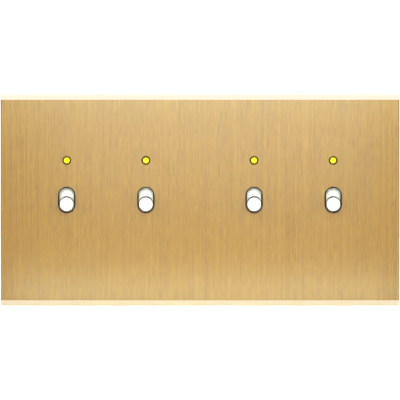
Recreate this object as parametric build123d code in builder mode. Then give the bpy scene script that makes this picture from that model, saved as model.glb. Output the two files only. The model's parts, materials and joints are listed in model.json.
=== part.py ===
from build123d import *
import os
from math import cos, radians, sin

# Two-gang switch plate: a solid brushed brass plate with four toggle levers and four lamps.
# X runs along the plate, Z is up and +Y goes into the wall. The origin is the middle of the wall plane.

# Front plate
plate_length = 151.0
plate_height = 80.0
plate_thickness = 5.0
plate_skin = 2.0
plate_rim = 4.0
pocket_corner = 3.0
edge_bevel = 2.0
end_break = 0.35

# Layout on the face
gang_pitch = 71.0
lever_pitch = 30.0
lamp_rise = 15.0

# Lever slot and its liner
slot_width = 6.6
slot_height = 10.1
slot_lip = 0.6
liner_wall = 0.4
liner_flange = 1.2
liner_flange_thickness = 0.4
liner_clearance = 0.03

# Lever, plunger and spring
lever_play = 0.2
lever_reach = 5.0
lever_edge = 0.3
lever_tilt = 6.6
pivot_depth = 9.0
dome_setback = 0.3
dome_cheek = 0.05
dome_height = 14.0
dome_back = 4.0
pin_diameter = 1.6
pin_clearance = 0.05
tail_diameter = 4.6
tail_length = 10.0
plunger_diameter = 2.8
plunger_length = 4.8
plunger_reach = 12.0
plunger_clearance = 0.1
plunger_nose = 0.9
bore_depth = 6.8
spring_wire = 0.4
spring_turns = 3
spring_clearance = 0.1

# Contact rocker and terminals
rocker_tilt = 7.0
rocker_thickness = 0.8
rocker_width = 4.0
rocker_gap = 0.2
rocker_overhang = 0.1
saddle_width = 2.8
saddle_wall = 0.2
nose_radius = 0.6
nose_clearance = 0.05
contact_rise = 5.4
contact_width = 2.0
contact_thickness = 0.5
contact_gap = 0.1
contact_room = 2.0
strip_thickness = 0.8
blade_width = 4.4
pillar_spacing = 7.5
pillar_width = 5.0
pillar_height = 5.2
pillar_depth = 5.0
pillar_clearance = 0.05
wire_hole = 2.4
wire_hole_depth = 3.1

# Terminal screws and earth pillar
clamp_diameter = 2.5
clamp_length = 1.8
clamp_head = 3.8
clamp_head_height = 1.4
clamp_clearance = 0.05
drive_width = 0.7
drive_depth = 0.7
earth_width = 6.0
earth_depth = 8.0
earth_spigot = 3.4

# Switch housing
housing_width = 11.0
housing_height = 25.0
housing_depth = 27.0
housing_corner = 1.0
cheek_clearance = 0.3
cavity_margin = 0.5
flange_width = 15.0
flange_height = 35.0
flange_thickness = 3.0
flange_corner = 1.5
ear_spacing = 41.0
ear_radius = 3.5
boss_radius = 2.8
boss_length = 3.0

# Lamps, their sleeves and boards
bezel_diameter = 3.4
bezel_wall = 0.5
bezel_flange = 0.9
bezel_flange_thickness = 0.6
bezel_clearance = 0.03
lamp_clearance = 0.05
lamp_dome = 0.25
lamp_base = 3.8
lamp_base_thickness = 1.0
lead_pitch = 1.6
lead_width = 0.5
lead_clearance = 0.1
lead_stub = 0.8
board_thickness = 1.0
board_height = 5.2
board_clearance = 0.3
board_overhang = 6.8
board_pin = 1.2
board_pin_offset = 5.5
board_pin_stub = 0.4
connector_width = 8.0
connector_depth = 7.0
connector_pole_pitch = 3.8
connector_screw_well = 2.4
connector_wire_port = 1.8

# Mounting frame and what fastens it
frame_thickness = 1.2
frame_gap = 1.0
frame_corner = 2.0
dome_opening = 1.0
box_screw_spacing = 60.0
box_slot_width = 4.2
box_slot_length = 7.0
module_screw = 2.5
module_screw_length = 5.0
module_screw_head = 4.6
module_screw_clearance = 0.05
stud_rise = 24.0
stud_diameter = 3.0
stud_foot = 5.0
stud_foot_thickness = 0.6
stud_neck = 2.2
stud_neck_start = 2.0
stud_neck_length = 1.0
stud_tip_length = 2.0
stud_hole_clearance = 1.0
clip_length = 14.0
clip_width = 7.0
clip_thickness = 0.4
clip_root = 3.2
clip_finger_width = 3.6
clip_finger_clearance = 0.05
rivet_diameter = 1.6
rivet_head = 3.0
rivet_head_height = 0.5
rivet_offset = 5.2
rivet_clearance = 0.05

# Worked out from the sizes above
plate_face = -plate_thickness
pocket_floor = plate_face + plate_skin
pocket_length = plate_length - 2 * plate_rim
pocket_height = plate_height - 2 * plate_rim
lip_back = plate_face + slot_lip
pivot_y = plate_face + pivot_depth
lever_diameter = slot_width - 2 * (liner_wall + lever_play)
dome_radius = pivot_depth - dome_setback
dome_width = lever_diameter + 2 * dome_cheek
bore_diameter = plunger_diameter + 2 * plunger_clearance
cavity_width = lever_diameter + 2 * cheek_clearance
cavity_height = 2 * (pillar_spacing + strip_thickness / 2 + cavity_margin)
pillar_front = housing_depth - pillar_depth
board_front = flange_thickness
board_z = housing_height / 2 + board_clearance + board_height / 2
frame_face = -frame_thickness

# The rocker lies just behind the plunger tip, and its saddle sits on the nose of the common terminal
rocker_front = pivot_y + plunger_reach + rocker_gap
saddle_radius = nose_radius + nose_clearance
valley_depth = rocker_thickness + saddle_wall + saddle_radius
fulcrum_y = rocker_front + valley_depth
arm_length = contact_rise + contact_width / 2 + rocker_overhang
closed_face = fulcrum_y - valley_depth * cos(radians(rocker_tilt)) + rocker_thickness + contact_thickness
fixed_contact = closed_face + contact_gap
cavity_depth = fixed_contact + strip_thickness + contact_room

# On a plane that faces the room, a piece stands outward of it or reaches inward from it
outward = (Align.CENTER, Align.CENTER, Align.MIN)
inward = (Align.CENTER, Align.CENTER, Align.MAX)

gang_x = [-gang_pitch / 2, gang_pitch / 2]
lever_x = [gang + side * lever_pitch / 2 for gang in gang_x for side in (-1, 1)]


def wall_plane(x, y, z=0.0):
    """A plane parallel to the wall at depth y, facing the room."""
    return Plane(origin=(x, y, z), x_dir=(1, 0, 0), z_dir=(0, -1, 0))


def side_plane(x):
    """An upright plane across the plate, with depth and height as its own axes."""
    return Plane(origin=(x, 0, 0), x_dir=(0, 1, 0), z_dir=(1, 0, 0))


def lever_plane(x):
    """A plane on the lever's pivot, facing along the lever as it rests tipped down."""
    tilt = radians(lever_tilt)
    return Plane(origin=(x, pivot_y, 0), x_dir=(1, 0, 0), z_dir=(0, -cos(tilt), -sin(tilt)))


def rocker_plane(x):
    """A plane on the rocker's fulcrum, with its upper arm pushed back against the upper contact."""
    tilt = radians(rocker_tilt)
    return Plane(origin=(x, fulcrum_y, 0), x_dir=(0, cos(tilt), -sin(tilt)), z_dir=(1, 0, 0))


stud_places = [(x, z) for x in gang_x for z in (-stud_rise, stud_rise)]
ear_places = [(x, z) for x in lever_x for z in (-ear_spacing / 2, ear_spacing / 2)]
lamp_places = [(x, lamp_rise) for x in lever_x]
rivet_places = [(x + side * rivet_offset, z) for x, z in stud_places for side in (-1, 1)]
box_screw_places = [(x + side * box_screw_spacing / 2, 0) for x in gang_x for side in (-1, 1)]
pillar_places = [(x, z) for x in lever_x for z in (-pillar_spacing, 0, pillar_spacing)]
earth_place = (gang_x[0], 0)


# Brass plate: bevelled bar with square ends, a milled pocket behind and a thinner lip at each slot
with BuildPart() as front_plate:
    with BuildSketch(side_plane(0)):
        with BuildLine():
            Polyline(
                (0, 0),
                (0, plate_height / 2),
                (plate_face + edge_bevel, plate_height / 2),
                (plate_face, plate_height / 2 - edge_bevel),
                (plate_face, 0),
                close=True,
            )
        make_face()
        mirror(about=Plane.XZ)
    extrude(amount=plate_length / 2, both=True)
    face_edges = front_plate.faces().sort_by(Axis.Y)[0].edges()
    chamfer(face_edges.filter_by(Axis.Z), length=end_break)
    with BuildSketch(wall_plane(0, 0)):
        RectangleRounded(pocket_length, pocket_height, pocket_corner)
    extrude(amount=-pocket_floor, mode=Mode.SUBTRACT)
    with BuildSketch(wall_plane(0, pocket_floor)):
        with Locations(*[(x, 0) for x in lever_x]):
            recess = 2 * (liner_flange + liner_clearance)
            SlotOverall(slot_height + recess, slot_width + recess, rotation=90)
    extrude(amount=plate_skin - slot_lip, mode=Mode.SUBTRACT)
    with BuildSketch(wall_plane(0, pocket_floor)):
        with Locations(*[(x, 0) for x in lever_x]):
            SlotOverall(slot_height, slot_width, rotation=90)
        with Locations(*lamp_places):
            Circle(bezel_diameter / 2)
    extrude(amount=plate_skin, mode=Mode.SUBTRACT)


def make_slot_liner(x):
    """Black liner: a thin sleeve that lines the slot, with a flange behind the lip."""
    with BuildPart() as slot_liner:
        with BuildSketch(wall_plane(x, lip_back)):
            outer = 2 * liner_clearance
            SlotOverall(slot_height - outer, slot_width - outer, rotation=90)
        extrude(amount=slot_lip)
        with BuildSketch(wall_plane(x, lip_back)):
            flange = 2 * liner_flange
            SlotOverall(slot_height + flange, slot_width + flange, rotation=90)
        extrude(amount=-liner_flange_thickness)
        with BuildSketch(wall_plane(x, lip_back + liner_flange_thickness)):
            walls = 2 * liner_wall
            SlotOverall(slot_height - walls, slot_width - walls, rotation=90)
        extrude(amount=slot_lip + liner_flange_thickness, mode=Mode.SUBTRACT)
    return slot_liner.part


def make_lever(x):
    """White lever: a round stick on a dome that fills the slot, and a bored tail for the plunger."""
    stick = lever_plane(x)
    with BuildPart(stick) as lever:
        Sphere(dome_radius)
        with Locations((0, 0, -dome_back)):
            Box(dome_width, dome_height, dome_back + dome_radius, align=outward, mode=Mode.INTERSECT)
        with BuildSketch(stick):
            Circle(lever_diameter / 2)
        extrude(amount=pivot_depth + lever_reach)
        tip = lever.faces().sort_by(Axis(stick.origin, stick.z_dir))[-1]
        fillet(tip.edges(), radius=lever_edge)
        with Locations((0, 0, -tail_length)):
            Cylinder(tail_diameter / 2, tail_length, align=outward)
            Cylinder(bore_diameter / 2, bore_depth, align=outward, mode=Mode.SUBTRACT)
        pin_hole = pin_diameter / 2 + pin_clearance
        Cylinder(pin_hole, dome_width, rotation=(0, 90, 0), mode=Mode.SUBTRACT)
    return lever.part


def make_plunger(x):
    """Plunger with a bevelled nose that slides in the lever's tail."""
    with BuildPart(lever_plane(x)) as plunger:
        with Locations((0, 0, -plunger_reach)):
            Cylinder(plunger_diameter / 2, plunger_length, align=outward)
        nose = plunger.faces().filter_by(GeomType.PLANE).sort_by(Axis.Y)[-1]
        chamfer(nose.edges(), length=plunger_nose)
    return plunger.part


def make_plunger_spring(x):
    """Coil spring between the bottom of the bore and the plunger."""
    stick = lever_plane(x)
    room = tail_length - bore_depth
    seat = plunger_reach - plunger_length
    free_height = seat - room - spring_wire - 2 * spring_clearance
    coil_radius = bore_diameter / 2 - spring_clearance - spring_wire / 2
    start = stick.from_local_coords((0, 0, -seat + spring_clearance + spring_wire / 2))
    with BuildPart() as plunger_spring:
        with BuildLine() as coil:
            Helix(free_height / spring_turns, free_height, coil_radius, start, stick.z_dir)
        with BuildSketch(Plane(origin=coil.line @ 0, z_dir=coil.line % 0)):
            Rectangle(spring_wire, spring_wire)
        sweep(is_frenet=True)
    return plunger_spring.part


def rocker_point(along, across):
    """A point on the rocker's upper arm, measured along it from the valley and across its thickness."""
    tilt = radians(rocker_tilt)
    return (across * cos(tilt) - along * sin(tilt) - valley_depth, along * cos(tilt) + across * sin(tilt))


def make_contact_rocker(x):
    """V-shaped rocker: two arms with contact bars, and a saddle that sits on the common terminal."""
    tilt = radians(rocker_tilt)
    bar_start = contact_rise - contact_width / 2
    bar_end = contact_rise + contact_width / 2
    bar_face = rocker_thickness + contact_thickness
    saddle_top = saddle_width / 2
    saddle_meets_arm = (saddle_top - rocker_thickness * sin(tilt)) / cos(tilt)
    with BuildPart() as contact_rocker:
        with BuildSketch(rocker_plane(x)):
            with BuildLine():
                Polyline(
                    rocker_point(0, 0),
                    rocker_point(arm_length, 0),
                    rocker_point(arm_length, rocker_thickness),
                    rocker_point(bar_end, rocker_thickness),
                    rocker_point(bar_end, bar_face),
                    rocker_point(bar_start, bar_face),
                    rocker_point(bar_start, rocker_thickness),
                    rocker_point(saddle_meets_arm, rocker_thickness),
                    (0, saddle_top),
                    (0, 0),
                    close=True,
                )
            make_face()
            mirror(about=Plane.XZ)
            Circle(saddle_radius, mode=Mode.SUBTRACT)
        extrude(amount=rocker_width / 2, both=True)
    return contact_rocker.part


def make_terminal(x, side):
    """Brass wire pillar: side 0 carries the rocker on a round nose, 1 and -1 end in a contact leg."""
    z = side * pillar_spacing
    behind = (Align.MIN, Align.CENTER)
    with BuildPart() as terminal:
        with BuildSketch(wall_plane(x, pillar_front, z)):
            Rectangle(pillar_width, pillar_height)
        extrude(amount=-pillar_depth)
        with BuildSketch(side_plane(x)):
            if side == 0:
                with Locations((fulcrum_y, 0)):
                    Circle(nose_radius)
                    Rectangle(pillar_front - fulcrum_y, 2 * nose_radius, align=behind)
            else:
                leg_start = contact_rise - contact_width / 2
                leg_end = pillar_spacing + strip_thickness / 2
                with Locations((fixed_contact, z)):
                    Rectangle(pillar_front - fixed_contact, strip_thickness, align=behind)
                with Locations((fixed_contact, side * (leg_start + leg_end) / 2)):
                    Rectangle(strip_thickness, leg_end - leg_start, align=behind)
        extrude(amount=blade_width / 2, both=True)
        with BuildSketch(wall_plane(x, housing_depth, z)):
            Circle(clamp_diameter / 2 + clamp_clearance)
        extrude(amount=wire_hole_depth, mode=Mode.SUBTRACT)
        with BuildSketch(side_plane(x)):
            with Locations((housing_depth - wire_hole_depth, z)):
                Circle(wire_hole / 2)
        extrude(amount=pillar_width / 2, both=True, mode=Mode.SUBTRACT)
    return terminal.part


def make_switch_housing(x):
    """Moulded housing: a flange with screw ears, and a box that holds the lever works."""
    side_walls = housing_width / 2
    with BuildPart() as switch_housing:
        with BuildSketch(wall_plane(x, 0)):
            RectangleRounded(flange_width, flange_height, flange_corner)
            SlotOverall(ear_spacing + 2 * ear_radius, 2 * ear_radius, rotation=90)
        extrude(amount=-flange_thickness)
        with BuildSketch(wall_plane(x, flange_thickness)):
            RectangleRounded(housing_width, housing_height, housing_corner)
        extrude(amount=flange_thickness - housing_depth)
        with BuildSketch(wall_plane(x, flange_thickness)):
            with GridLocations(0, ear_spacing, 1, 2):
                Circle(boss_radius)
        extrude(amount=-boss_length)
        with BuildSketch(wall_plane(x, flange_thickness, lamp_rise)):
            with GridLocations(2 * board_pin_offset, 0, 2, 1):
                Rectangle(board_pin, board_pin)
        extrude(amount=-(board_thickness + board_pin_stub))
        # Lever cavity, and the pivot pin's hole through both cheeks
        with BuildSketch(wall_plane(x, 0)):
            Rectangle(cavity_width, cavity_height)
        extrude(amount=-cavity_depth, mode=Mode.SUBTRACT)
        with BuildSketch(side_plane(x)):
            with Locations((pivot_y, 0)):
                Circle(pin_diameter / 2 + pin_clearance)
        extrude(amount=side_walls, both=True, mode=Mode.SUBTRACT)
        # Lamp seat with two lead holes, and screw holes in the ears
        with BuildSketch(wall_plane(x, 0, lamp_rise)):
            Circle(lamp_base / 2 + lamp_clearance)
        extrude(amount=-lamp_base_thickness, mode=Mode.SUBTRACT)
        with BuildSketch(wall_plane(x, 0, lamp_rise)):
            with GridLocations(lead_pitch, 0, 2, 1):
                Rectangle(lead_width + 2 * lead_clearance, lead_width + 2 * lead_clearance)
        extrude(amount=-flange_thickness, mode=Mode.SUBTRACT)
        with BuildSketch(wall_plane(x, 0)):
            with GridLocations(0, ear_spacing, 1, 2):
                Circle(module_screw / 2 + module_screw_clearance)
        extrude(amount=-(flange_thickness + boss_length), mode=Mode.SUBTRACT)
        # Pillar pockets from behind, blade slits into the cavity and wire holes from both sides
        with BuildSketch(wall_plane(x, housing_depth)):
            with GridLocations(0, pillar_spacing, 1, 3):
                Rectangle(pillar_width + 2 * pillar_clearance, pillar_height + 2 * pillar_clearance)
        extrude(amount=pillar_depth, mode=Mode.SUBTRACT)
        with BuildSketch(wall_plane(x, housing_depth)):
            slit_width = blade_width + 2 * pillar_clearance
            Rectangle(slit_width, 2 * (nose_radius + pillar_clearance))
            with GridLocations(0, 2 * pillar_spacing, 1, 2):
                Rectangle(slit_width, strip_thickness + 2 * pillar_clearance)
        extrude(amount=housing_depth - cavity_depth, mode=Mode.SUBTRACT)
        with BuildSketch(side_plane(x)):
            with Locations((housing_depth - wire_hole_depth, 0)):
                with GridLocations(0, pillar_spacing, 1, 3):
                    Circle(wire_hole / 2)
        extrude(amount=side_walls, both=True, mode=Mode.SUBTRACT)
    return switch_housing.part


def make_lamp_bezel(x):
    """Dark sleeve that lines the lamp's hole, with a flange behind the plate."""
    with BuildPart() as lamp_bezel:
        with BuildSketch(wall_plane(x, pocket_floor, lamp_rise)):
            Circle(bezel_diameter / 2 - bezel_clearance)
        extrude(amount=plate_skin)
        with BuildSketch(wall_plane(x, pocket_floor, lamp_rise)):
            Circle(bezel_diameter / 2 + bezel_flange)
        extrude(amount=-bezel_flange_thickness)
        with BuildSketch(wall_plane(x, pocket_floor + bezel_flange_thickness, lamp_rise)):
            Circle(bezel_diameter / 2 - bezel_wall)
        extrude(amount=plate_skin + bezel_flange_thickness, mode=Mode.SUBTRACT)
    return lamp_bezel.part


def make_lamp(x):
    """Yellow lamp: a lens with a shallow dome, and a base trapped between frame and housing."""
    lens_radius = bezel_diameter / 2 - bezel_wall - lamp_clearance
    with BuildPart(wall_plane(x, 0, lamp_rise)) as lamp:
        Cylinder(lens_radius, plate_thickness, align=outward)
        rims = lamp.edges().filter_by(GeomType.CIRCLE)
        fillet(rims.sort_by(Axis.Y)[0], radius=lamp_dome)
        Cylinder(lamp_base / 2, lamp_base_thickness, align=inward)
    return lamp.part


def make_lamp_board(x):
    """Circuit board across both lamps of a gang, pinned to the housings and notched at their ears."""
    pin_hole = board_pin + 2 * lead_clearance
    lead_hole = lead_width + 2 * lead_clearance
    with BuildPart() as lamp_board:
        with BuildSketch(wall_plane(x, board_front, board_z)):
            Rectangle(lever_pitch + 2 * board_overhang, board_height)
            with Locations((0, ear_spacing / 2 - board_z)):
                with GridLocations(lever_pitch, 0, 2, 1):
                    Circle(boss_radius + board_clearance, mode=Mode.SUBTRACT)
        extrude(amount=-board_thickness)
        with BuildSketch(wall_plane(x, board_front, lamp_rise)):
            with GridLocations(lever_pitch, 0, 2, 1):
                with GridLocations(2 * board_pin_offset, 0, 2, 1):
                    Rectangle(pin_hole, pin_hole)
                with GridLocations(lead_pitch, 0, 2, 1):
                    Rectangle(lead_hole, lead_hole)
        extrude(amount=-board_thickness, mode=Mode.SUBTRACT)
    return lamp_board.part


def make_lamp_connector(x):
    """Two-pole wire connector on the lamp board."""
    connector_front = board_front + board_thickness
    with BuildPart() as lamp_connector:
        with BuildSketch(wall_plane(x, connector_front, board_z)):
            Rectangle(connector_width, board_height)
        extrude(amount=-connector_depth)
        with BuildSketch(wall_plane(x, connector_front + connector_depth, board_z)):
            with GridLocations(connector_pole_pitch, 0, 2, 1):
                Circle(connector_screw_well / 2)
        extrude(amount=connector_depth / 2, mode=Mode.SUBTRACT)
        with BuildSketch(Plane.XY.offset(board_z + board_height / 2)):
            with Locations((x, connector_front + connector_depth / 2)):
                with GridLocations(connector_pole_pitch, 0, 2, 1):
                    Circle(connector_wire_port / 2)
        extrude(amount=-board_height / 2, mode=Mode.SUBTRACT)
    return lamp_connector.part


# Lamp wires, from each lamp's base through the board
with BuildPart() as lamp_leads:
    with BuildSketch(wall_plane(0, lamp_base_thickness)):
        with Locations(*lamp_places):
            with GridLocations(lead_pitch, 0, 2, 1):
                Rectangle(lead_width, lead_width)
    extrude(amount=lamp_base_thickness - board_front - board_thickness - lead_stub)

# Pivot pins, pushed through the housings from the side
with BuildPart() as pivot_pins:
    with Locations(*[(x, pivot_y, 0) for x in lever_x]):
        Cylinder(pin_diameter / 2, housing_width, rotation=(0, 90, 0))

# Steel frame inside the plate's pocket
with BuildPart() as mounting_frame:
    with BuildSketch(wall_plane(0, frame_face)):
        RectangleRounded(pocket_length - 2 * frame_gap, pocket_height - 2 * frame_gap, frame_corner)
        with Locations(*[(x, 0) for x in lever_x]):
            opening = 2 * (dome_radius + dome_opening)
            SlotOverall(opening, cavity_width + 2 * dome_opening, rotation=90, mode=Mode.SUBTRACT)
        with Locations(*lamp_places):
            Circle(bezel_diameter / 2, mode=Mode.SUBTRACT)
        with Locations(*stud_places):
            Circle(stud_diameter / 2 + stud_hole_clearance, mode=Mode.SUBTRACT)
        with Locations(*rivet_places):
            Circle(rivet_diameter / 2 + rivet_clearance, mode=Mode.SUBTRACT)
        with Locations(*box_screw_places):
            SlotOverall(box_slot_length, box_slot_width, mode=Mode.SUBTRACT)
        with Locations(earth_place):
            Circle(earth_spigot / 2 + rivet_clearance, mode=Mode.SUBTRACT)
    extrude(amount=-frame_thickness)
    with Locations(*[wall_plane(x, frame_face, z) for x, z in ear_places]):
        CounterSinkHole(
            module_screw / 2 + module_screw_clearance,
            module_screw_head / 2 + module_screw_clearance,
            depth=frame_thickness,
            counter_sink_angle=90,
        )

# Countersunk screws from the frame into the housings' ears
with BuildPart() as module_screws:
    head_height = (module_screw_head - module_screw) / 2
    with Locations(*[wall_plane(x, frame_face, z) for x, z in ear_places]):
        Cone(
            module_screw / 2,
            module_screw_head / 2,
            head_height,
            align=inward,
        )
        Cylinder(module_screw / 2, module_screw_length, align=inward)
        Box(
            module_screw_head,
            drive_width,
            drive_depth,
            align=inward,
            mode=Mode.SUBTRACT,
        )

# Clamp screws on the wire pillars
with BuildPart() as terminal_screws:
    with Locations(*[wall_plane(x, housing_depth, z) for x, z in pillar_places]):
        Cylinder(clamp_head / 2, clamp_head_height, align=inward)
        Cylinder(clamp_diameter / 2, clamp_length, align=outward)
    with Locations(*[wall_plane(x, housing_depth + clamp_head_height, z) for x, z in pillar_places]):
        Box(
            clamp_head,
            drive_width,
            drive_depth,
            align=outward,
            mode=Mode.SUBTRACT,
        )

# Plate studs: a foot on the pocket floor, a necked shank through the frame and a pointed tip
stud_radius = stud_diameter / 2
neck_radius = stud_neck / 2
neck_end = stud_neck_start + stud_neck_length
stud_end = neck_end + stud_tip_length
with BuildPart() as plate_studs:
    for stud_x, stud_z in stud_places:
        stud_axis = Axis((stud_x, 0, stud_z), (0, 1, 0))
        with BuildSketch(Plane(origin=(stud_x, 0, stud_z), z_dir=(0, 0, 1))):
            with BuildLine():
                Polyline(
                    (0, pocket_floor),
                    (stud_foot / 2, pocket_floor),
                    (stud_foot / 2, pocket_floor + stud_foot_thickness),
                    (stud_radius, pocket_floor + stud_foot_thickness),
                    (stud_radius, stud_neck_start),
                    (neck_radius, stud_neck_start),
                    (neck_radius, neck_end),
                    (stud_radius, neck_end),
                    (neck_radius / 2, stud_end),
                    (0, stud_end),
                    close=True,
                )
            make_face()
        revolve(axis=stud_axis)

# Spring clips on the back of the frame, with two fingers that snap into each stud's neck
with BuildPart() as stud_clips:
    with BuildSketch(*[wall_plane(x, 0, z) for x, z in stud_places]):
        Rectangle(clip_length, clip_width)
        Rectangle(2 * clip_root, clip_finger_width + clip_thickness, mode=Mode.SUBTRACT)
        with GridLocations(2 * rivet_offset, 0, 2, 1):
            Circle(rivet_diameter / 2 + rivet_clearance, mode=Mode.SUBTRACT)
    extrude(amount=-clip_thickness)
    finger_tip = neck_radius + clip_finger_clearance
    finger_end = stud_neck_start + stud_neck_length / 2
    with BuildSketch(*[Plane(origin=(x, 0, z), z_dir=(0, 0, 1)) for x, z in stud_places]):
        with BuildLine():
            Polyline(
                (clip_root, 0),
                (clip_root + clip_thickness, 0),
                (finger_tip + clip_thickness, finger_end),
                (finger_tip, finger_end),
                close=True,
            )
        make_face()
        mirror(about=Plane.YZ)
    extrude(amount=clip_finger_width / 2, both=True)

# Rivets through frame and clips
with BuildPart() as clip_rivets:
    with Locations(*[wall_plane(x, 0, z) for x, z in rivet_places]):
        Cylinder(rivet_diameter / 2, frame_thickness, align=outward)
        Cylinder(rivet_diameter / 2, clip_thickness, align=inward)
    with Locations(*[wall_plane(x, frame_face, z) for x, z in rivet_places]):
        Cylinder(rivet_head / 2, rivet_head_height, align=outward)
    with Locations(*[wall_plane(x, clip_thickness, z) for x, z in rivet_places]):
        Cylinder(rivet_head / 2, rivet_head_height, align=inward)

# Earth pillar, staked into the frame, and its screw
with BuildPart() as earth_terminal:
    with BuildSketch(wall_plane(earth_place[0], 0)):
        Rectangle(earth_width, earth_width)
    extrude(amount=-earth_depth)
    with BuildSketch(wall_plane(earth_place[0], 0)):
        Circle(earth_spigot / 2)
    extrude(amount=frame_thickness)
    with BuildSketch(wall_plane(earth_place[0], earth_depth)):
        Circle(clamp_diameter / 2 + clamp_clearance)
    extrude(amount=earth_depth / 2, mode=Mode.SUBTRACT)
    with BuildSketch(Plane.XY):
        with Locations((earth_place[0], earth_depth / 2)):
            Circle(wire_hole / 2)
    extrude(amount=earth_width / 2, both=True, mode=Mode.SUBTRACT)

with BuildPart() as earth_screw:
    with Locations(wall_plane(earth_place[0], earth_depth)):
        Cylinder(clamp_head / 2, clamp_head_height, align=inward)
        Cylinder(clamp_diameter / 2, clamp_length, align=outward)
    with Locations(wall_plane(earth_place[0], earth_depth + clamp_head_height)):
        Box(
            clamp_head,
            drive_width,
            drive_depth,
            align=outward,
            mode=Mode.SUBTRACT,
        )

pieces = {
    "front_plate": front_plate.part,
    "mounting_frame": mounting_frame.part,
    "plate_studs": plate_studs.part,
    "stud_clips": stud_clips.part,
    "clip_rivets": clip_rivets.part,
    "module_screws": module_screws.part,
    "terminal_screws": terminal_screws.part,
    "pivot_pins": pivot_pins.part,
    "lamp_leads": lamp_leads.part,
    "earth_terminal": earth_terminal.part,
    "earth_screw": earth_screw.part,
}
for gang_side, gang in zip(("left", "right"), gang_x):
    pieces[f"lamp_board_{gang_side}"] = make_lamp_board(gang)
    pieces[f"lamp_connector_{gang_side}"] = make_lamp_connector(gang)
for number, place in enumerate(lever_x, start=1):
    pieces[f"slot_liner_{number}"] = make_slot_liner(place)
    pieces[f"lever_{number}"] = make_lever(place)
    pieces[f"plunger_{number}"] = make_plunger(place)
    pieces[f"plunger_spring_{number}"] = make_plunger_spring(place)
    pieces[f"contact_rocker_{number}"] = make_contact_rocker(place)
    pieces[f"common_terminal_{number}"] = make_terminal(place, 0)
    pieces[f"upper_terminal_{number}"] = make_terminal(place, 1)
    pieces[f"lower_terminal_{number}"] = make_terminal(place, -1)
    pieces[f"switch_housing_{number}"] = make_switch_housing(place)
    pieces[f"lamp_{number}"] = make_lamp(place)
    pieces[f"lamp_bezel_{number}"] = make_lamp_bezel(place)

os.makedirs("parts", exist_ok=True)
for name, piece in pieces.items():
    piece.label = name
    export_step(piece, f"parts/{name}.step")
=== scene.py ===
# %% [markdown]
# # A brushed brass switch plate
# This lesson dresses a wall plate with four toggle levers and four lamps. The solids come from a packed
# CAD model that already has every piece in its place, in metres. Here they get their finishes, a few
# small pieces that are too fine for CAD, a camera and studio light.
#
# The plate's front faces -Y, +Z is up and +X is to the right, as the photograph shows it.

# %% Load the solids
import json
import math

import bpy
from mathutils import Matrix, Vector


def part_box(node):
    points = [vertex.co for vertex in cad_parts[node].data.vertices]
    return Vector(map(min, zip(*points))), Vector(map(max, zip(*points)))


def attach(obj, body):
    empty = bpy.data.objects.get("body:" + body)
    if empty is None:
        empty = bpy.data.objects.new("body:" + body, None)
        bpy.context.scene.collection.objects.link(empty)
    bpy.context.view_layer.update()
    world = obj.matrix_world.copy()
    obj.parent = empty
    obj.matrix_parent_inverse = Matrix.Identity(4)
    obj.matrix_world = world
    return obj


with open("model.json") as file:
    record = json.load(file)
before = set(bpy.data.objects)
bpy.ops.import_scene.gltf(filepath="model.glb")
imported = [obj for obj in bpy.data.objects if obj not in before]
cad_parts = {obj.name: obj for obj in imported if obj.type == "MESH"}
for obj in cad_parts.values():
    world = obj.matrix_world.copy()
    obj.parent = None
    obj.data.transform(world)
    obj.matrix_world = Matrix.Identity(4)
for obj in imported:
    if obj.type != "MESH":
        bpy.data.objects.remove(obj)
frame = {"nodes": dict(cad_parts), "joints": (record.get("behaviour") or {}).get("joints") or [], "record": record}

scene = bpy.context.scene
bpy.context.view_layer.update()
solids = frame["nodes"]

# %% [markdown]
# ## Camera
# The photograph looks square on at the plate, and levers that stand out of the face aren't shifted
# against the lamps beside them. So the lens is very long and the camera stands far off, level with the
# plate's middle. The plate fills the picture's width but for a hair at each end, which fixes the
# distance. An orthographic camera would also do, but a long lens is what a photographer uses.

# %% Camera
plate_low, plate_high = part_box("front_plate")
plate_middle = (plate_low + plate_high) / 2
end_gap = 0.0003
view_width = plate_high.x - plate_low.x + 2 * end_gap
sensor_width = 0.036
lens_length = 0.8
nearest_seen, furthest_seen = 0.1, 30.0
camera_distance = view_width * lens_length / sensor_width

lens = bpy.data.cameras.new("long_lens")
lens.sensor_width = 1000 * sensor_width
lens.lens = 1000 * lens_length
lens.clip_start = nearest_seen
lens.clip_end = furthest_seen
camera = bpy.data.objects.new("camera", lens)
scene.collection.objects.link(camera)
camera.location = (plate_middle.x, plate_low.y - camera_distance, plate_middle.z)
camera.rotation_euler = (math.radians(90), 0, 0)
scene.camera = camera
print(f"camera {camera_distance:.2f} m in front of the face")

# %% [markdown]
# ## Helpers for node trees
# Light, finishes and small pieces are all trees of nodes. `place` adds a node and wires or sets its
# inputs in one go, and the others shorten the nodes that come up most.

# %% Helpers for node trees
def place(tree, kind, inputs=None, **options):
    """Adds a node: options are its own settings, inputs are values or sockets to wire in."""
    made = tree.nodes.new(kind)
    for option, value in options.items():
        setattr(made, option, value)
    for socket, value in (inputs or {}).items():
        if isinstance(value, bpy.types.NodeSocket):
            tree.links.new(value, made.inputs[socket])
        else:
            made.inputs[socket].default_value = value
    return made


def maths(tree, operation, first, second=0.0, third=0.0):
    """One step of arithmetic, as a socket."""
    return place(tree, "ShaderNodeMath", {0: first, 1: second, 2: third}, operation=operation).outputs[0]


def blend_colours(tree, share, first, second):
    """First colour where share is 0, second where it is 1, as a socket."""
    return place(tree, "ShaderNodeMix", {0: share, 6: first, 7: second}, data_type="RGBA").outputs[2]


def spread(tree, value, low, high):
    """A value of 0 to 1 spread between two others, as a socket."""
    inputs = {"Value": value, "To Min": low, "To Max": high}
    return place(tree, "ShaderNodeMapRange", inputs).outputs["Result"]


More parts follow.
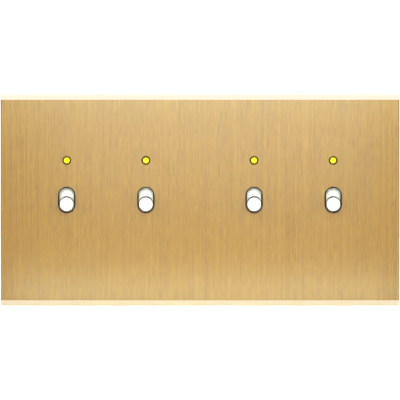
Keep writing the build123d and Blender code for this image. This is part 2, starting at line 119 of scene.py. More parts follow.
def linear(red, green, blue):
    """A colour as read from a picture, 0 to 255 each, in the linear light that shaders use."""
    shares = [level / 255 for level in (red, green, blue)]
    return tuple(s / 12.92 if s <= 0.04045 else ((s + 0.055) / 1.055) ** 2.4 for s in shares) + (1.0,)


print("mid brass in linear light is", [round(part, 3) for part in linear(202, 163, 101)])

# %% [markdown]
# ## Floor
# The plate stands on its lower edge on a plain floor, large enough to run out of sight. The
# photograph's ground is burnt out to pure white. A floor lit that brightly would throw too much light
# up at the brass, so the missing white is added only to what the camera sees: a Light Path node tells
# which rays those are. Near the plate little is added, which leaves a soft shadow there.

# %% Floor
floor_reach = 6.0
floor_white = 0.97
floor_roughness = 0.9
plain_white = (1, 1, 1, 1)
added_near, added_far = 0.18, 1.0
near_reach, far_reach = 0.15, 0.6

floor_corners = [(-1, -1), (1, -1), (1, 1), (-1, 1)]
floor_points = [(floor_reach * x, floor_reach * y, plate_low.z) for x, y in floor_corners]
floor_mesh = bpy.data.meshes.new("floor")
floor_mesh.from_pydata(floor_points, [], [(0, 1, 2, 3)])
floor = bpy.data.objects.new("floor", floor_mesh)
scene.collection.objects.link(floor)

floor_paint = bpy.data.materials.new("floor_paint")
floor_paint.use_nodes = True
floor_mesh.materials.append(floor_paint)
ground = floor_paint.node_tree
floor_shader = ground.nodes["Principled BSDF"]
floor_shader.inputs["Base Color"].default_value = (floor_white, floor_white, floor_white, 1)
floor_shader.inputs["Roughness"].default_value = floor_roughness
floor_shader.inputs["Emission Color"].default_value = plain_white
place_on_floor = place(ground, "ShaderNodeTexCoord").outputs["Object"]
distance = place(ground, "ShaderNodeVectorMath", {0: place_on_floor}, operation="LENGTH").outputs["Value"]
inputs = {"Value": distance, "From Min": near_reach, "From Max": far_reach}
inputs.update({"To Min": added_near, "To Max": added_far})
added = place(ground, "ShaderNodeMapRange", inputs).outputs["Result"]
camera_rays = place(ground, "ShaderNodeLightPath").outputs["Is Camera Ray"]
ground.links.new(maths(ground, "MULTIPLY", added, camera_rays), floor_shader.inputs["Emission Strength"])
print(f"floor at {1000 * plate_low.z:.1f} mm")

# %% [markdown]
# ## Room light
# Soft boxes are area lights, as in a studio. The wide one overhead is mirrored in the upper bevel and lights
# the floor, which is mirrored in the lower bevel; the bevels' near-white colour is partly this light and partly
# a painted reflection in the brass finish. The two at the sides round off the white levers. One behind lights
# the frame and the switches when the plate is looked at from there.
# Small lamps would do for brightness, but they leave hard shadows, and the photograph has none.

# %% Room light
def soft_box(name, stands, looks_at, size, power, colour=(1, 1, 1)):
    """A rectangular studio light that the camera doesn't see."""
    lamp = bpy.data.lights.new(name, "AREA")
    lamp.shape = "RECTANGLE"
    lamp.size, lamp.size_y = size
    lamp.energy = power
    lamp.color = colour
    box = bpy.data.objects.new(name, lamp)
    box.location = stands
    box.rotation_euler = (Vector(looks_at) - Vector(stands)).to_track_quat("-Z", "Y").to_euler()
    box.visible_camera = False
    scene.collection.objects.link(box)


soft_box("ceiling_box", stands=(0, -1.15, 1.3), looks_at=(0, -1.15, 0), size=(2.4, 3.0), power=22)
for name, side in (("left_box", -1), ("right_box", 1)):
    soft_box(name, stands=(side * 0.75, -0.5, 0.15), looks_at=(0, 0, 0), size=(0.5, 0.6), power=4.6)
soft_box("rear_box", stands=(0, 1.1, 0.6), looks_at=(0, 0, 0), size=(2.0, 1.1), power=14)
print("room light:", ", ".join(sorted(lamp.name for lamp in bpy.data.lights)))

# %% [markdown]
# ## Light mirrored in the lacquer
# Brushed metal shows what stands in front of it. In the photograph the face is palest along its top and
# bottom, deepest just below the middle and a little deeper towards the ends. Three small boxes make
# that: one stands before the upper half, one a little higher than the plate and one low down, and each
# is mirrored as a soft glow over the part of the face nearest to it. The first is tinted a little
# blue-green and the other two yellow-green, which keeps the glow straw-coloured over metal that is
# rather orange. Painting the bands into the metal would be easier, but they would not move with the
# light.

# %% Light mirrored in the lacquer
for name, (x, y, z), size, power, tint in (
    ("centre_box", (0.006, -0.25, 0.03), (0.14, 0.06), 0.0325, (0.87, 1.0, 1.03)),
    ("upper_box", (0.002, -0.2, 0.075), (0.21, 0.05), 0.148, (0.88, 1.0, 0.76)),
    ("lower_box", (0.001, -0.085, -0.0358), (0.15, 0.008), 0.0147, (0.96, 1.0, 0.66)),
):
    soft_box(name, stands=(x, y, z), looks_at=(x, 0, z), size=size, power=power, colour=tint)
print(f"{len(bpy.data.lights)} soft boxes in all")

# %% [markdown]
# ## Surroundings
# Where no box stands, metal mirrors the room. The room is white to the camera, as in the photograph. To
# everything else it is dim in front, so that the brass keeps its depth, and brighter behind, where the
# zinc frame would otherwise mirror darkness. A picture of a studio could be wrapped around the scene
# instead, but two plain tones are easier to follow and to change.

# %% Surroundings
room_seen, room_in_front, room_behind = 1.05, 0.05, 0.5
front_ends, back_starts = -0.4, 0.3

surroundings = bpy.data.worlds.new("surroundings")
surroundings.use_nodes = True
scene.world = surroundings
air = surroundings.node_tree
air.nodes.clear()
heading = place(air, "ShaderNodeTexCoord").outputs["Generated"]
depth = place(air, "ShaderNodeSeparateXYZ", {0: heading}).outputs["Y"]
inputs = {"Value": depth, "From Min": front_ends, "From Max": back_starts}
inputs.update({"To Min": room_in_front, "To Max": room_behind})
grading = place(air, "ShaderNodeMapRange", inputs).outputs["Result"]
felt = place(air, "ShaderNodeBackground", {"Color": plain_white, "Strength": grading}).outputs[0]
seen = place(air, "ShaderNodeBackground", {"Color": plain_white, "Strength": room_seen}).outputs[0]
camera_rays = place(air, "ShaderNodeLightPath").outputs["Is Camera Ray"]
either = place(air, "ShaderNodeMixShader", {0: camera_rays, 1: felt, 2: seen}).outputs[0]
place(air, "ShaderNodeOutputWorld", {"Surface": either})
scene.view_settings.view_transform = "Standard"
print(f"room {room_in_front} bright in front, {room_behind} behind")

# %% [markdown]
# ## Shared effects
# Some effects turn up on several pieces: brushed strokes on sheet metal, the fine grain of moulded
# plastic and the patches of handled metal. Each is a node group, built once and placed in every finish
# that needs it, with its own values.

# %% A group to fill
def start_effect(name, takes, gives):
    """An empty shader group with named sockets; returns the group, its inputs and its end node."""
    group = bpy.data.node_groups.new(name, "ShaderNodeTree")
    for socket, value in takes.items():
        kind = "NodeSocketVector" if value is None else "NodeSocketFloat"
        made = group.interface.new_socket(socket, in_out="INPUT", socket_type=kind)
        if value is not None:
            made.default_value = value
    for socket in gives:
        group.interface.new_socket(socket, in_out="OUTPUT", socket_type="NodeSocketFloat")
    return group, group.nodes.new("NodeGroupInput").outputs, group.nodes.new("NodeGroupOutput")


def use_effect(tree, group, **values):
    """Places a group in a finish; names of values have _ for a space."""
    inputs = {socket.replace("_", " "): value for socket, value in values.items()}
    return place(tree, "ShaderNodeGroup", inputs, node_tree=group).outputs


print("effects are node groups")

# %% [markdown]
# Brushing leaves strokes that are long one way and fine the other. Noise stretched upwards does that.
# Short and long fine strokes lie over faint broad ones, because a real brushing belt has grit of many
# sizes. Each layer says how fine it is, how long it runs and how much of the whole it is. Scratches
# modelled one by one would take far too many faces.

# %% Brushed strokes
stroke_layers = ((1.3, 0.16, 0.5), (1.5, 1.5, 0.4), (0.3, 0.7, 0.1))
faint_below, strong_above = 0.32, 0.68

brushing, given, end = start_effect(
    "brushed strokes", {"Vector": None, "Strokes": 2400.0, "Length": 0.012}, ["Stroke"]
)
along = place(brushing, "ShaderNodeSeparateXYZ", {0: given["Vector"]}).outputs
stroke_mix = 0.0
for fineness, run, share in stroke_layers:
    strokes = maths(brushing, "MULTIPLY", given["Strokes"], fineness)
    across = maths(brushing, "MULTIPLY", along["X"], strokes)
    inwards = maths(brushing, "MULTIPLY", along["Y"], strokes)
    runs = maths(brushing, "DIVIDE", along["Z"], maths(brushing, "MULTIPLY", given["Length"], run))
    stretched = place(brushing, "ShaderNodeCombineXYZ", {"X": across, "Y": inwards, "Z": runs}).outputs[0]
    noise = place(brushing, "ShaderNodeTexNoise", {"Vector": stretched, "Scale": 1.0, "Detail": 2.0})
    stroke_mix = maths(brushing, "MULTIPLY_ADD", noise.outputs["Fac"], share, stroke_mix)
inputs = {"Value": stroke_mix, "From Min": faint_below, "From Max": strong_above}
crisp = place(brushing, "ShaderNodeMapRange", inputs).outputs["Result"]
brushing.links.new(crisp, end.inputs["Stroke"])
print("brushed strokes:", len(brushing.nodes), "nodes")

# %% [markdown]
# Moulded plastic copies the fine sparks of its mould, and its colour drifts a little where the melt
# cooled slowly. One noise makes the pits and a much wider one the drift.

# %% Moulded grain
drift_fineness = 0.03

moulding, given, end = start_effect("moulded grain", {"Vector": None, "Grain": 0.0002}, ["Pits", "Drift"])
pit_scale = maths(moulding, "DIVIDE", 1.0, given["Grain"])
drift_scale = maths(moulding, "MULTIPLY", pit_scale, drift_fineness)
for socket, scale, detail in (("Pits", pit_scale, 3.0), ("Drift", drift_scale, 1.0)):
    inputs = {"Vector": given["Vector"], "Scale": scale, "Detail": detail}
    noise = place(moulding, "ShaderNodeTexNoise", inputs)
    moulding.links.new(noise.outputs["Fac"], end.inputs[socket])
print("moulded grain:", len(moulding.nodes), "nodes")

# %% [markdown]
# Bare metal dulls in soft patches, with a few darker specks where something touched it. Both are noise
# with its middle stretched: gently for the patches, sharply for the specks.

# %% Handled metal
specks_per_patch = 9.0

handling, given, end = start_effect("handled metal", {"Vector": None, "Patch": 0.01}, ["Dull", "Specks"])
patch_scale = maths(handling, "DIVIDE", 1.0, given["Patch"])
speck_scale = maths(handling, "MULTIPLY", patch_scale, specks_per_patch)
for socket, scale, detail, clean_below, full_above in (
    ("Dull", patch_scale, 4.0, 0.35, 0.7),
    ("Specks", speck_scale, 2.0, 0.66, 0.74),
):
    inputs = {"Vector": given["Vector"], "Scale": scale, "Detail": detail}
    noise = place(handling, "ShaderNodeTexNoise", inputs)
    inputs = {"Value": noise.outputs["Fac"], "From Min": clean_below, "From Max": full_above}
    marks = place(handling, "ShaderNodeMapRange", inputs).outputs["Result"]
    handling.links.new(marks, end.inputs[socket])
print("handled metal:", len(handling.nodes), "nodes")

# %% [markdown]
# ## Finishes
# One function makes each finish's shader, so that every finish starts from the same few lines: its
# name, how metallic it is and which coordinates it reads. All patterns use Object coordinates, because
# a solid's place is in its own mesh and the pattern then stays with it when it moves.

# %% A finish to fill
def start_finish(name, metallic=0.0):
    """A material with only a shader; returns it, its tree, its shader and Object coordinates."""
    finish = bpy.data.materials.new(name)
    finish.use_nodes = True
    tree = finish.node_tree
    tree.nodes.clear()
    shader = place(tree, "ShaderNodeBsdfPrincipled", {"Metallic": metallic})
    place(tree, "ShaderNodeOutputMaterial", {"Surface": shader.outputs[0]})
    return finish, tree, shader, place(tree, "ShaderNodeTexCoord").outputs["Object"]


def wire(tree, shader, socket, source):
    """Feeds one of the shader's inputs."""
    tree.links.new(source, shader.inputs[socket])


def emboss(tree, shader, height, depth, strength=1.0):
    """Turns a pattern into relief: depth is how deep it is in metres."""
    bump = place(tree, "ShaderNodeBump", {"Height": height, "Distance": depth, "Strength": strength})
    wire(tree, shader, "Normal", bump.outputs[0])


finishes = {}
print("every finish reads Object coordinates")

# %% [markdown]
# ### Brushed brass
# The plate is solid brass, brushed up and down and lacquered. The strokes change its colour, its gloss
# and its relief together. The lacquer is a coat that mirrors the studio over the yellow metal. The two
# bevels were cut and given a polish after the brushing, so they are smoother, and their colour is painted
# near white: a painted reflection of the bright ceiling and floor they face. They could have a finish of
# their own, but the plate is one solid with one finish, so they are found by their place: the outermost
# strip above and below, and only as deep as a bevel is.

# %% Brushed brass
bevel_width = 0.002
deep_brass, pale_brass = linear(143, 102, 18), linear(183, 137, 37)
# The bevels' near-white colour is a painted reflection of the ceiling and floor, not the metal's own.
dull_brass, painted_bevel_reflection = linear(142, 100, 20), linear(242, 228, 202)
dull_share = 0.12
deep_roughness, pale_roughness = 0.6, 0.5
polish = 0.2
stroke_depth = 0.000012

brass, tree, shader, here = start_finish("brushed brass", metallic=1.0)
stroke = use_effect(tree, brushing, Vector=here, Strokes=2600.0, Length=0.03)["Stroke"]
patches = use_effect(tree, handling, Vector=here, Patch=0.03)
point = place(tree, "ShaderNodeSeparateXYZ", {0: here}).outputs
outer = maths(tree, "GREATER_THAN", maths(tree, "ABSOLUTE", point["Z"]), plate_high.z - bevel_width)
foremost = maths(tree, "LESS_THAN", point["Y"], plate_low.y + bevel_width)
bevel_polish_and_painted_reflection = maths(tree, "MULTIPLY", outer, foremost)

metal = blend_colours(tree, stroke, deep_brass, pale_brass)
metal = blend_colours(tree, maths(tree, "MULTIPLY", patches["Dull"], dull_share), metal, dull_brass)
# Painted reflection: the bevels get the near-white colour; their lower roughness below is real polish.
wire(tree, shader, "Base Color", blend_colours(tree, bevel_polish_and_painted_reflection, metal, painted_bevel_reflection))
brushed_roughness = spread(tree, stroke, deep_roughness, pale_roughness)
wire(tree, shader, "Roughness", maths(tree, "MULTIPLY_ADD", bevel_polish_and_painted_reflection, -polish, brushed_roughness))
emboss(tree, shader, stroke, depth=stroke_depth, strength=0.6)
shader.inputs["Coat Weight"].default_value = 1.0
shader.inputs["Coat Roughness"].default_value = 0.25
shader.inputs["Coat IOR"].default_value = 2.0
finishes["brushed_brass"] = brass
print("brushed brass:", len(tree.nodes), "nodes")

# %% [markdown]
# ### White levers
# The levers are glossy white mouldings. A dark band around the end, over its rounded rim, is painted
# shade: it stands for the shaded line between the lever's end and the dome behind it, strongest above,
# because the lever is tipped down and its upper side comes into view. It is colour only, flush with the
# lever. It is found along the lever's own axis, which rests tipped by half of the joint's range. The
# gloss is a coat that leaves the painted shade out, so that it stays dull.

# %% White levers
toggle = next(joint for joint in frame["joints"] if joint["name"] == "toggle_1_tip")
lever_tilt = math.radians(toggle["range_deg"][1] / 2)
pivot_y = toggle["pos_m"][1]
lever_length = 0.014
shade_band_width = 0.003
end_left_white = 0.00004
shade_band_start = lever_length - shade_band_width
shade_band_end = lever_length - end_left_white
white_plastic, cream_plastic = linear(247, 247, 243), linear(241, 241, 235)
# Painted shade: the dark band stands in for the shaded line around the lever's end.
painted_shade_black = linear(18, 16, 13)
smooth_lever, pitted_lever = 0.26, 0.38
lever_gloss = 0.8

white, tree, shader, here = start_finish("white lever")
grain = use_effect(tree, moulding, Vector=here, Grain=0.00025)
point = place(tree, "ShaderNodeSeparateXYZ", {0: here}).outputs
forwards = maths(tree, "MULTIPLY", maths(tree, "SUBTRACT", point["Y"], pivot_y), -math.cos(lever_tilt))
reach = maths(tree, "MULTIPLY_ADD", point["Z"], -math.sin(lever_tilt), forwards)
# Where the painted shade band lies along the lever's axis, just behind its end.
past_start = maths(tree, "GREATER_THAN", reach, shade_band_start)
before_end = maths(tree, "LESS_THAN", reach, shade_band_end)
painted_shade_band = maths(tree, "MULTIPLY", past_start, before_end)

plastic = blend_colours(tree, grain["Drift"], white_plastic, cream_plastic)
wire(tree, shader, "Base Color", blend_colours(tree, painted_shade_band, plastic, painted_shade_black))
wire(tree, shader, "Roughness", spread(tree, grain["Pits"], smooth_lever, pitted_lever))
wire(tree, shader, "Coat Weight", spread(tree, painted_shade_band, lever_gloss, 0.0))
emboss(tree, shader, grain["Pits"], depth=0.000006, strength=0.5)
shader.inputs["Subsurface Weight"].default_value = 0.5
shader.inputs["Subsurface Radius"].default_value = (1, 1, 0.95)
shader.inputs["Subsurface Scale"].default_value = 0.0015
shader.inputs["Specular IOR Level"].default_value = 0.0
shader.inputs["Coat Roughness"].default_value = 0.3
finishes["lever_white"] = white
print(f"white lever: ring {1000 * shade_band_start:.2f} to {1000 * shade_band_end:.2f} mm from the pivot")

# %% [markdown]
# ### Yellow lamps
# The lamps glow. Fine rings moulded behind the lens spread their light, so the colour ripples a little
# from the middle outwards. The rim of the lens is painted olive, a painted shade for where the lamp's
# sleeve shades it. All four share one finish: folding the plate's length about its middle and about each
# gang's middle measures the distance to whichever lamp is nearest. Four finishes would do as well, but
# they would differ in nothing but their middles. Only the crests of the ripple change the colour, while
# the relief follows all of it.

# %% Yellow lamps
def middle(node):
    """The middle of a solid's box."""
    low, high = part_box(node)
    return (low + high) / 2


lamp_inner, lamp_outer = middle("lamp_3"), middle("lamp_4")
gang_x = (lamp_inner.x + lamp_outer.x) / 2
half_pitch = (lamp_outer.x - lamp_inner.x) / 2
ripple_pitch = 0.0004
ripple_share = 0.5
lens_edge = 0.00105
clear_yellow, deep_yellow = linear(250, 248, 24), linear(246, 238, 10)
# Painted shade: the lens rim is darkened olive as if shaded by its sleeve.
painted_rim_shade = linear(74, 60, 6)
smooth_lens, pitted_lens = 0.12, 0.2

yellow, tree, shader, here = start_finish("yellow lamp")
grain = use_effect(tree, moulding, Vector=here, Grain=0.0002)
point = place(tree, "ShaderNodeSeparateXYZ", {0: here}).outputs
from_gang = maths(tree, "ABSOLUTE", maths(tree, "SUBTRACT", maths(tree, "ABSOLUTE", point["X"]), gang_x))
sideways = maths(tree, "SUBTRACT", from_gang, half_pitch)
upwards = maths(tree, "SUBTRACT", point["Z"], lamp_inner.z)
squares = maths(tree, "MULTIPLY_ADD", sideways, sideways, maths(tree, "MULTIPLY", upwards, upwards))
radius = maths(tree, "SQRT", squares)
ripple = maths(tree, "SINE", maths(tree, "MULTIPLY", radius, 2 * math.pi / ripple_pitch))

crests = spread(tree, ripple, 0.0, ripple_share)
rippled = blend_colours(tree, crests, clear_yellow, deep_yellow)
# The painted shade covers the lens beyond this radius.
shaded_rim = maths(tree, "GREATER_THAN", radius, lens_edge)
glow = blend_colours(tree, shaded_rim, rippled, painted_rim_shade)
wire(tree, shader, "Base Color", glow)
wire(tree, shader, "Emission Color", glow)
wire(tree, shader, "Roughness", spread(tree, grain["Pits"], smooth_lens, pitted_lens))
emboss(tree, shader, ripple, depth=0.00001, strength=0.4)
shader.inputs["Emission Strength"].default_value = 0.4
shader.inputs["Specular IOR Level"].default_value = 0.2
finishes["lamp_yellow"] = yellow
print(f"yellow lamps at {1000 * lamp_inner.x:.1f} and {1000 * lamp_outer.x:.1f} mm")

# %% [markdown]
# ### Black trim
# The liners of the slots and the sleeves of the lamps are black mouldings with a dull, slightly brown
# tone. The lamps' sleeves are painted olive, a painted glow standing in for the lamps' light on them. The
# sleeves stand above the liners, so a height between the two tells them apart.

# %% Black trim
between = (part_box("slot_liner_1")[1].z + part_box("lamp_bezel_1")[0].z) / 2
dark_plastic, brown_plastic = linear(22, 17, 9), linear(32, 26, 14)
# Painted light: olive stands for the lamps' glow falling on their sleeves.
painted_lamp_glow = linear(70, 55, 3)
smooth_trim, pitted_trim = 0.45, 0.62

black, tree, shader, here = start_finish("black trim")
grain = use_effect(tree, moulding, Vector=here, Grain=0.00015)
height = place(tree, "ShaderNodeSeparateXYZ", {0: here}).outputs["Z"]
sleeve_with_painted_glow = maths(tree, "GREATER_THAN", height, between)
plastic = blend_colours(tree, grain["Drift"], dark_plastic, brown_plastic)
# The sleeves get the painted glow; the liners keep the plain black.
wire(tree, shader, "Base Color", blend_colours(tree, sleeve_with_painted_glow, plastic, painted_lamp_glow))
wire(tree, shader, "Roughness", spread(tree, grain["Pits"], smooth_trim, pitted_trim))
emboss(tree, shader, grain["Pits"], depth=0.000008, strength=0.6)
shader.inputs["Specular IOR Level"].default_value = 0.15
finishes["trim_black"] = black
print(f"black trim: sleeves above {1000 * between:.1f} mm")

# %% [markdown]
# ### Metals behind the plate
# What hides in the wall is plain and workmanlike: a zinc plated frame with rolling strokes, brass
# terminals, steel screws and springs, and tinned wires. One function gives each its own colours, gloss
# and scale, so the metals differ as real ones do and still share their wear.

# %% Metals behind the plate
speck_share = 0.5
stroke_share = 0.25
speck_brown = linear(70, 62, 50)


def handled_metal(slot, clean, dulled, gloss, patch, strokes, turned=False):
    """A bare metal: two colours, gloss from bright to dull, patch size in metres, strokes to the metre."""
    finish, tree, shader, here = start_finish(slot.replace("_", " "), metallic=1.0)
    turn = (0, math.radians(90), 0) if turned else (0, 0, 0)
    turned_here = place(tree, "ShaderNodeMapping", {"Vector": here, "Rotation": turn}).outputs[0]
    stroke = use_effect(tree, brushing, Vector=turned_here, Strokes=strokes, Length=0.01)["Stroke"]
    worn = use_effect(tree, handling, Vector=here, Patch=patch)
    metal = blend_colours(tree, worn["Dull"], clean, dulled)
    metal = blend_colours(tree, maths(tree, "MULTIPLY", worn["Specks"], speck_share), metal, speck_brown)
    metal = blend_colours(tree, maths(tree, "MULTIPLY", stroke, stroke_share), metal, clean)
    wire(tree, shader, "Base Color", metal)
    bright, dull = gloss
    wire(tree, shader, "Roughness", spread(tree, worn["Dull"], bright, dull))
    emboss(tree, shader, stroke, depth=0.000008, strength=0.5)
    finishes[slot] = finish


zinc, dull_zinc = linear(205, 208, 206), linear(168, 174, 176)
handled_metal("zinc_steel", zinc, dull_zinc, (0.28, 0.46), 0.006, 1800.0, turned=True)
handled_metal("spring_steel", linear(178, 176, 172), linear(128, 126, 124), (0.25, 0.42), 0.003, 2500.0)
handled_metal("screw_steel", linear(210, 206, 196), linear(166, 160, 148), (0.22, 0.4), 0.002, 3000.0)
handled_metal("terminal_brass", linear(222, 184, 112), linear(178, 132, 70), (0.24, 0.45), 0.003, 2200.0)
handled_metal("contact_brass", linear(226, 176, 116), linear(188, 128, 74), (0.22, 0.42), 0.003, 2600.0)
handled_metal("lead_tin", linear(222, 222, 218), linear(176, 176, 172), (0.2, 0.38), 0.001, 1500.0)
print("metals:", ", ".join(slot for slot in finishes if slot.endswith(("steel", "brass", "tin"))))

# %% [markdown]
# ### Mouldings behind the plate
# Thermoset housings are filled with mineral flour, so they are speckled as well as grained. Softer
# plastics only have the grain. A picture of plastic could be laid over the solids instead, but noise
# has no seams and stays sharp from close by.

# %% Mouldings behind the plate
fleck_patch = 0.004
grain_width_to_depth = 20
fleck_grey = linear(150, 148, 142)


def moulded_plastic(slot, deep, pale, gloss, grain_size, speckle=0.0):
    """A moulded plastic: two close colours, gloss, grain size in metres and how far pale flecks show."""
    finish, tree, shader, here = start_finish(slot.replace("_", " "))
    grain = use_effect(tree, moulding, Vector=here, Grain=grain_size)
    flecks = use_effect(tree, handling, Vector=here, Patch=fleck_patch)["Specks"]
    plastic = blend_colours(tree, grain["Drift"], deep, pale)
    fleck_share = maths(tree, "MULTIPLY", flecks, speckle)
    wire(tree, shader, "Base Color", blend_colours(tree, fleck_share, plastic, fleck_grey))
    bright, dull = gloss
    wire(tree, shader, "Roughness", spread(tree, grain["Pits"], bright, dull))
    emboss(tree, shader, grain["Pits"], depth=grain_size / grain_width_to_depth, strength=0.6)
    finishes[slot] = finish


moulded_plastic("housing_grey", linear(58, 60, 63), linear(72, 74, 77), (0.42, 0.6), 0.0003, speckle=0.35)
moulded_plastic("connector_grey", linear(120, 124, 126), linear(136, 140, 141), (0.4, 0.55), 0.00025)
moulded_plastic("plunger_acetal", linear(228, 226, 214), linear(238, 236, 226), (0.3, 0.42), 0.0002)
print("mouldings:", ", ".join(slot for slot in finishes if slot.endswith(("grey", "acetal"))))

# %% [markdown]
# ### Green lamp boards
# A board has copper tracks under its green mask. They show as slightly raised, paler strips that run
# from the lamps to the connector, one above and one below the lamps' wires. Height alone tells where
# they are. Strips of their own would stand out by less than a hair's width, so relief in the finish is
# enough.

# %% Green lamp boards
track_gap = 0.0016
track_width = 0.0007
deep_mask, pale_mask = linear(18, 78, 44), linear(26, 92, 52)
track_green = linear(58, 128, 70)
smooth_mask, pitted_mask = 0.25, 0.36

board, tree, shader, here = start_finish("board green")
grain = use_effect(tree, moulding, Vector=here, Grain=0.0003)
height = place(tree, "ShaderNodeSeparateXYZ", {0: here}).outputs["Z"]
from_wires = maths(tree, "ABSOLUTE", maths(tree, "SUBTRACT", height, lamp_inner.z))
off_track = maths(tree, "ABSOLUTE", maths(tree, "SUBTRACT", from_wires, track_gap))
track = maths(tree, "LESS_THAN", off_track, track_width / 2)
mask = blend_colours(tree, grain["Drift"], deep_mask, pale_mask)
wire(tree, shader, "Base Color", blend_colours(tree, track, mask, track_green))
wire(tree, shader, "Roughness", spread(tree, grain["Pits"], smooth_mask, pitted_mask))
emboss(tree, shader, track, depth=0.00003, strength=0.6)
finishes["board_green"] = board
print(f"tracks {1000 * track_gap:.1f} mm above and below the lamp wires")

# %% [markdown]
# ## Put the finishes on the solids
# The record names a finish for every solid, so one loop dresses them all. Choosing them by hand would
# do as well, but a solid left out would then stay grey, where the loop stops at a finish that is
# missing.

# %% Put the finishes on the solids
slot_of = {part["node"]: part["material_slot"] for part in frame["record"]["subparts"]}
for node, solid in solids.items():
    solid.material_slots[0].material = finishes[slot_of[node]]
print(f"{len(slot_of)} solids dressed in {len(finishes)} finishes")

# %% [markdown]
# ## Small pieces that repeat
# Solder and tiny screws are too fine for the CAD model. Geometry Nodes make one of each and set it on
# every point of a small mesh. Copies placed by hand would look the same, but a change of size would
# have to be made on each of them. The functions below keep what every such piece needs: points to stand
# on, a tree with named inputs, and a plain mesh at the end, because only plain meshes leave Blender.

# %% Helpers for repeated pieces
carrier = "plate"


def start_pattern(name, sizes):
    """A geometry tree with named sizes; returns it, its inputs and the identifier of each name."""
    tree = bpy.data.node_groups.new(name, "GeometryNodeTree")
    tree.interface.new_socket("Geometry", in_out="INPUT", socket_type="NodeSocketGeometry")
    named = {}
    for size, value in sizes.items():
        made = tree.interface.new_socket(size, in_out="INPUT", socket_type="NodeSocketFloat")
        made.default_value = value
        named[size] = made.identifier
    finish = tree.interface.new_socket("Finish", in_out="INPUT", socket_type="NodeSocketMaterial")
    named["Finish"] = finish.identifier
    tree.interface.new_socket("Geometry", in_out="OUTPUT", socket_type="NodeSocketGeometry")
    return tree, tree.nodes.new("NodeGroupInput").outputs, named


def end_pattern(tree, given, one, turn):
    """Sets one piece on every point, turned, and ends the tree in a real mesh with its finish."""
    inputs = {"Points": given["Geometry"], "Instance": one, "Rotation": turn}
    many = place(tree, "GeometryNodeInstanceOnPoints", inputs).outputs[0]
    real = place(tree, "GeometryNodeRealizeInstances", {0: many}).outputs[0]
    inputs = {"Geometry": real, "Material": given["Finish"]}
    place(tree, "NodeGroupOutput", {0: place(tree, "GeometryNodeSetMaterial", inputs).outputs[0]})


def grow(name, tree, named, points, sizes, slot):
    """Runs a pattern over points and keeps the result as a plain mesh that moves with the plate."""
    seats = bpy.data.meshes.new(name)
    seats.from_pydata(points, [], [])
    piece = bpy.data.objects.new(name, seats)
    scene.collection.objects.link(piece)
    pattern = piece.modifiers.new("pattern", "NODES")
    pattern.node_group = tree
    for size, value in sizes.items():
        pattern[named[size]] = value
    pattern[named["Finish"]] = finishes[slot]
    grown = bpy.data.meshes.new_from_object(piece.evaluated_get(bpy.context.evaluated_depsgraph_get()))
    piece.modifiers.clear()
    piece.data = grown
    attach(piece, carrier)
    print(f"{name}: {len(points)} of them, {len(grown.polygons)} faces")


print("repeated pieces ride on the", carrier)

# %% [markdown]
# ### Solder joints
# Where a lamp's wire comes through the board, solder climbs it in a hollow-sided cone. A cone with a
# few rings is drawn in at mid height by moving its points, which keeps its foot and its neck at their
# sizes. Turning a curve about the wire would do as well, but a cone needs only three sizes.

# %% Solder joints
wire_pitch = 0.0016
hollow_depth = 0.22
solder_sides, solder_rings = 18, 6
board_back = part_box("lamp_board_left")[1].y

joint_size = {"Foot": 0.0007, "Neck": 0.00034, "Height": 0.0007}
solder_tree, given, solder_sizes = start_pattern("solder", joint_size)
inputs = {"Vertices": solder_sides, "Side Segments": solder_rings, "Depth": given["Height"]}
inputs.update({"Radius Top": given["Neck"], "Radius Bottom": given["Foot"]})
cone = place(solder_tree, "GeometryNodeMeshCone", inputs).outputs["Mesh"]
spot = place(solder_tree, "GeometryNodeInputPosition").outputs[0]
parts = place(solder_tree, "ShaderNodeSeparateXYZ", {0: spot}).outputs
climb = maths(solder_tree, "DIVIDE", parts["Z"], given["Height"])
hollow = maths(solder_tree, "SINE", maths(solder_tree, "MULTIPLY", climb, math.pi))
slimmer = maths(solder_tree, "MULTIPLY_ADD", hollow, -hollow_depth, 1.0)
inputs = {axis: maths(solder_tree, "MULTIPLY", parts[axis], slimmer) for axis in ("X", "Y")}
drawn_in = place(solder_tree, "ShaderNodeCombineXYZ", {**inputs, "Z": parts["Z"]}).outputs[0]
inputs = {"Geometry": cone, "Position": drawn_in}
flared = place(solder_tree, "GeometryNodeSetPosition", inputs).outputs[0]
smooth = place(solder_tree, "GeometryNodeSetShadeSmooth", {0: flared}).outputs[0]
backwards = (math.radians(-90), 0, 0)
end_pattern(solder_tree, given, smooth, backwards)

wire_seats = [
    (middle(f"lamp_{n}").x + side * wire_pitch / 2, board_back, lamp_inner.z)
    for n in (1, 2, 3, 4)
    for side in (-1, 1)
]
grow("solder_joints", solder_tree, solder_sizes, wire_seats, joint_size, "lead_tin")

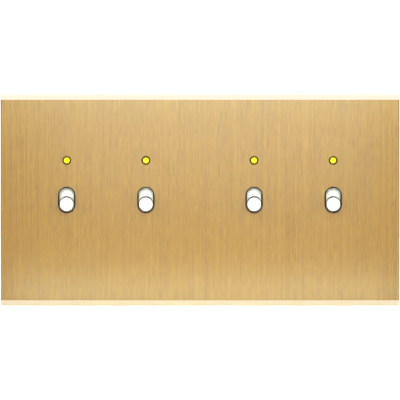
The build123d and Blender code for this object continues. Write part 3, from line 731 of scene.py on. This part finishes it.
# %% [markdown]
# ### Connector screws
# Each connector clamps its two wires with slotted screws that sit down in wells. A tapered head has its
# slot cut by a Mesh Boolean, and every screw stops at another angle, as tightened screws do. A dark
# stripe would pass for a slot from afar, but not in a close view.

# %% Connector screws
pole_pitch = 0.0038
taper = 0.88
head_sides = 28
cutter_length_in_radii = 3.0
connector_low, connector_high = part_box("lamp_connector_left")
well_floor = (connector_low.y + connector_high.y) / 2

head_size = {"Radius": 0.00112, "Height": 0.0016, "Slot": 0.0004}
screw_tree, given, screw_sizes = start_pattern("well screw", head_size)
crown = maths(screw_tree, "MULTIPLY", given["Radius"], taper)
inputs = {"Vertices": head_sides, "Depth": given["Height"]}
inputs.update({"Radius Top": crown, "Radius Bottom": given["Radius"]})
head = place(screw_tree, "GeometryNodeMeshCone", inputs).outputs["Mesh"]
right_across = maths(screw_tree, "MULTIPLY", given["Radius"], cutter_length_in_radii)
inputs = {"X": right_across, "Y": given["Slot"], "Z": given["Height"]}
slot_size = place(screw_tree, "ShaderNodeCombineXYZ", inputs).outputs[0]
cutter = place(screw_tree, "GeometryNodeMeshCube", {"Size": slot_size}).outputs["Mesh"]
lift = place(screw_tree, "ShaderNodeCombineXYZ", {"Z": given["Height"]}).outputs[0]
raised = place(screw_tree, "GeometryNodeTransform", {"Geometry": cutter, "Translation": lift}).outputs[0]
slotted = place(screw_tree, "GeometryNodeMeshBoolean", {"Mesh 1": head}, operation="DIFFERENCE")
screw_tree.links.new(raised, slotted.inputs["Mesh 2"])
furthest = (math.radians(-90), math.radians(170), 0)
inputs = {"Min": backwards, "Max": furthest, "Seed": 4}
angle = place(screw_tree, "FunctionNodeRandomValue", inputs, data_type="FLOAT_VECTOR").outputs[0]
end_pattern(screw_tree, given, slotted.outputs["Mesh"], angle)

connectors = [middle(f"lamp_connector_{side}") for side in ("left", "right")]
well_seats = [
    (spot.x + pole * pole_pitch / 2, well_floor, spot.z)
    for spot in connectors
    for pole in (-1, 1)
]
grow("connector_screws", screw_tree, screw_sizes, well_seats, head_size, "screw_steel")
